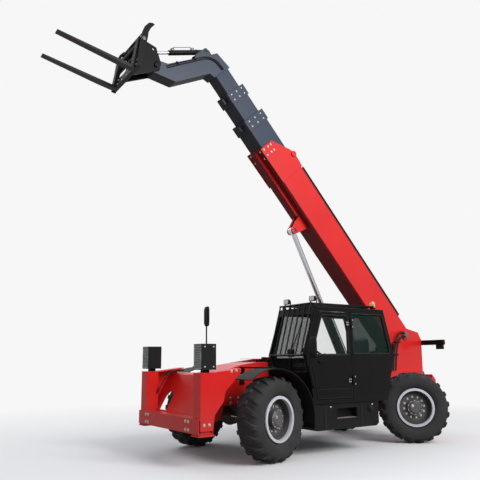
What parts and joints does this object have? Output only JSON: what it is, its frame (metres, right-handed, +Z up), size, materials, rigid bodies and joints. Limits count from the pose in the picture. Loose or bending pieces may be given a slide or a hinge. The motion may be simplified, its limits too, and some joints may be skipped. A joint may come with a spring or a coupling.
{
  "type": "telehandler",
  "caption": "Four-wheel-steered telescopic handler with a raised multi-section boom, dropped head with pallet forks, side cab, engine hood and front jack stabilisers.",
  "frame": {"origin": "under the middle of the overall box, on the ground", "axes": "+X forward along the machine, +Y to its left (cab side), +Z up"},
  "size_m": [7.6558, 2.965, 6.7139],
  "materials": {
    "red_paint": "gloss",
    "black_paint": "satin",
    "boom_grey": "satin",
    "rim_silver": "satin",
    "tyre": "matte",
    "glass": "clear",
    "chrome": "polished",
    "axle_paint": "matte",
    "seat_fabric": "woven",
    "black_plastic": "matte",
    "lamp": "clear lens",
    "engine_grey": "matte",
    "fork_steel": "worn black"
  },
  "bodies": {
    "chassis": {"axle_front": "axle_paint", "axle_rear": "axle_paint", "boom_tower": "red_paint", "cab_glass": "glass", "cab_guard": "black_paint", "cab_shell": "black_paint", "counterweight": "red_paint", "engine_bay": "red_paint", "engine_block": "engine_grey", "fenders_front": "black_plastic", "frame_rails": "red_paint", "fuel_tank": "black_plastic", "hydraulic_tank": "black_plastic", "mirrors": "black_plastic", "nose_frame": "red_paint", "nose_lamps": "lamp", "rear_bar": "black_paint", "roof_lamps": "lamp", "seat_base": "black_plastic", "seat_cushions": "seat_fabric", "steering_console": "black_plastic"},
    "knuckle_front_left": {"knuckle_front_left": "axle_paint"},
    "wheel_front_left": {"tyre_front_left": "tyre", "rim_front_left": "rim_silver"},
    "knuckle_front_right": {"knuckle_front_right": "axle_paint"},
    "wheel_front_right": {"tyre_front_right": "tyre", "rim_front_right": "rim_silver"},
    "steering_rod_front": {"steering_rod_front": "chrome"},
    "knuckle_rear_left": {"knuckle_rear_left": "axle_paint"},
    "wheel_rear_left": {"tyre_rear_left": "tyre", "rim_rear_left": "rim_silver"},
    "knuckle_rear_right": {"knuckle_rear_right": "axle_paint"},
    "wheel_rear_right": {"tyre_rear_right": "tyre", "rim_rear_right": "rim_silver"},
    "steering_rod_rear": {"steering_rod_rear": "chrome"},
    "boom": {"boom_outer": "red_paint", "hose_tray": "black_plastic"},
    "boom_second": {"boom_second": "boom_grey"},
    "boom_third": {"boom_third": "boom_grey"},
    "boom_tip": {"boom_inner": "boom_grey", "boom_head": "boom_grey"},
    "lift_barrel": {"lift_barrel": "black_paint"},
    "lift_rod": {"lift_rod": "chrome"},
    "carriage": {"carriage": "black_paint", "forks": "fork_steel"},
    "tilt_barrel": {"tilt_barrel": "black_paint"},
    "tilt_rod": {"tilt_rod": "chrome"},
    "stabiliser_leg_left": {"stabiliser_leg_left": "red_paint"},
    "stabiliser_leg_right": {"stabiliser_leg_right": "red_paint"},
    "cab_door": {"cab_door": "black_paint", "door_glass": "glass"},
    "engine_hood": {"engine_hood": "red_paint"}
  },
  "joints": [
    {"name": "steer_front_left", "type": "hinge", "parent": "chassis", "child": "knuckle_front_left", "pos_m": [0.69212, 0.87, 0.585], "axis": [0, 0, 1], "range_deg": [-52, 24]},
    {"name": "roll_front_left", "type": "hinge", "parent": "knuckle_front_left", "child": "wheel_front_left", "pos_m": [0.65825, 1.00584, 0.585], "axis": [-0.2419, 0.9703, 0], "continuous": true},
    {"name": "steer_front_right", "type": "hinge", "parent": "chassis", "child": "knuckle_front_right", "pos_m": [0.69212, -0.87, 0.585], "axis": [0, 0, 1], "range_deg": [-52, 24]},
    {"name": "roll_front_right", "type": "hinge", "parent": "knuckle_front_right", "child": "wheel_front_right", "pos_m": [0.72599, -1.00584, 0.585], "axis": [-0.2419, 0.9703, 0], "continuous": true},
    {"name": "steer_slide_front", "type": "slide", "parent": "chassis", "child": "steering_rod_front", "axis": [0, 1, 0], "range_m": [-0.1274, 0.0593]},
    {"name": "steer_rear_left", "type": "hinge", "parent": "chassis", "child": "knuckle_rear_left", "pos_m": [-2.52788, 0.87, 0.585], "axis": [0, 0, 1], "range_deg": [-2, 74]},
    {"name": "roll_rear_left", "type": "hinge", "parent": "knuckle_rear_left", "child": "wheel_rear_left", "pos_m": [-2.44559, 0.98326, 0.585], "axis": [0.5878, 0.809, 0], "continuous": true},
    {"name": "steer_rear_right", "type": "hinge", "parent": "chassis", "child": "knuckle_rear_right", "pos_m": [-2.52788, -0.87, 0.585], "axis": [0, 0, 1], "range_deg": [-2, 74]},
    {"name": "roll_rear_right", "type": "hinge", "parent": "knuckle_rear_right", "child": "wheel_rear_right", "pos_m": [-2.61017, -0.98326, 0.585], "axis": [0.5878, 0.809, 0], "continuous": true},
    {"name": "steer_slide_rear", "type": "slide", "parent": "chassis", "child": "steering_rod_rear", "axis": [0, 1, 0], "range_m": [-0.1808, 0.0059]},
    {"name": "boom_lift", "type": "hinge", "parent": "chassis", "child": "boom", "pos_m": [-3.21788, 0, 1.85], "axis": [0, -1, 0], "range_deg": [-48, 18]},
    {"name": "boom_extend", "type": "slide", "parent": "boom", "child": "boom_second", "axis": [0.6691, 0, 0.7431], "range_m": [-0.34, 3.1]},
    {"name": "extend_third", "type": "slide", "parent": "boom_second", "child": "boom_third", "axis": [0.6691, 0, 0.7431], "range_m": [-0.34, 3.1]},
    {"name": "extend_tip", "type": "slide", "parent": "boom_third", "child": "boom_tip", "axis": [0.6691, 0, 0.7431], "range_m": [-0.34, 3.1]},
    {"name": "lift_barrel_hinge", "type": "hinge", "parent": "chassis", "child": "lift_barrel", "pos_m": [-2.17488, 0, 0.624], "axis": [0, -1, 0], "range_deg": [-45.19, 17.26]},
    {"name": "lift_rod_slide", "type": "slide", "parent": "lift_barrel", "child": "lift_rod", "axis": [0.4412, 0, 0.8974], "range_m": [-1.2985, 0.4901]},
    {"name": "carriage_tilt", "type": "hinge", "parent": "boom_tip", "child": "carriage", "pos_m": [2.17305, 0, 6.05881], "axis": [0, -1, 0], "range_deg": [-62, 58]},
    {"name": "tilt_barrel_hinge", "type": "hinge", "parent": "boom_tip", "child": "tilt_barrel", "pos_m": [1.19278, 0, 6.65887], "axis": [0, -1, 0], "range_deg": [-1.94, 2.06]},
    {"name": "tilt_rod_slide", "type": "slide", "parent": "tilt_barrel", "child": "tilt_rod", "axis": [0.9485, 0, -0.3168], "range_m": [-0.2189, 0.2336]},
    {"name": "stabiliser_left", "type": "slide", "parent": "chassis", "child": "stabiliser_leg_left", "axis": [0, 0, -1], "range_m": [0, 0.405]},
    {"name": "stabiliser_right", "type": "slide", "parent": "chassis", "child": "stabiliser_leg_right", "axis": [0, 0, -1], "range_m": [0, 0.405]},
    {"name": "cab_door_hinge", "type": "hinge", "parent": "chassis", "child": "cab_door", "pos_m": [-0.83788, 1.187, 1.5], "axis": [0, 0, 1], "range_deg": [0, 95]},
    {"name": "engine_hood_hinge", "type": "hinge", "parent": "chassis", "child": "engine_hood", "pos_m": [-0.91788, -0.392, 1.436], "axis": [-1, 0, 0], "range_deg": [0, 70]}
  ],
  "couplings": [
    {"joint": "steer_front_right", "follows": "steer_front_left", "ratio": 1},
    {"joint": "steer_slide_front", "follows": "steer_front_left", "m_per_rad": 0.13924},
    {"joint": "steer_rear_right", "follows": "steer_rear_left", "ratio": 1},
    {"joint": "steer_slide_rear", "follows": "steer_rear_left", "m_per_rad": -0.13924},
    {"joint": "extend_third", "follows": "boom_extend", "ratio": 1},
    {"joint": "extend_tip", "follows": "boom_extend", "ratio": 1},
    {"joint": "lift_barrel_hinge", "follows": "boom_lift", "ratio": 0.931},
    {"joint": "lift_rod_slide", "follows": "boom_lift", "m_per_rad": 1.544},
    {"joint": "tilt_barrel_hinge", "follows": "carriage_tilt", "ratio": -0.03},
    {"joint": "tilt_rod_slide", "follows": "carriage_tilt", "m_per_rad": -0.21129}
  ]
}
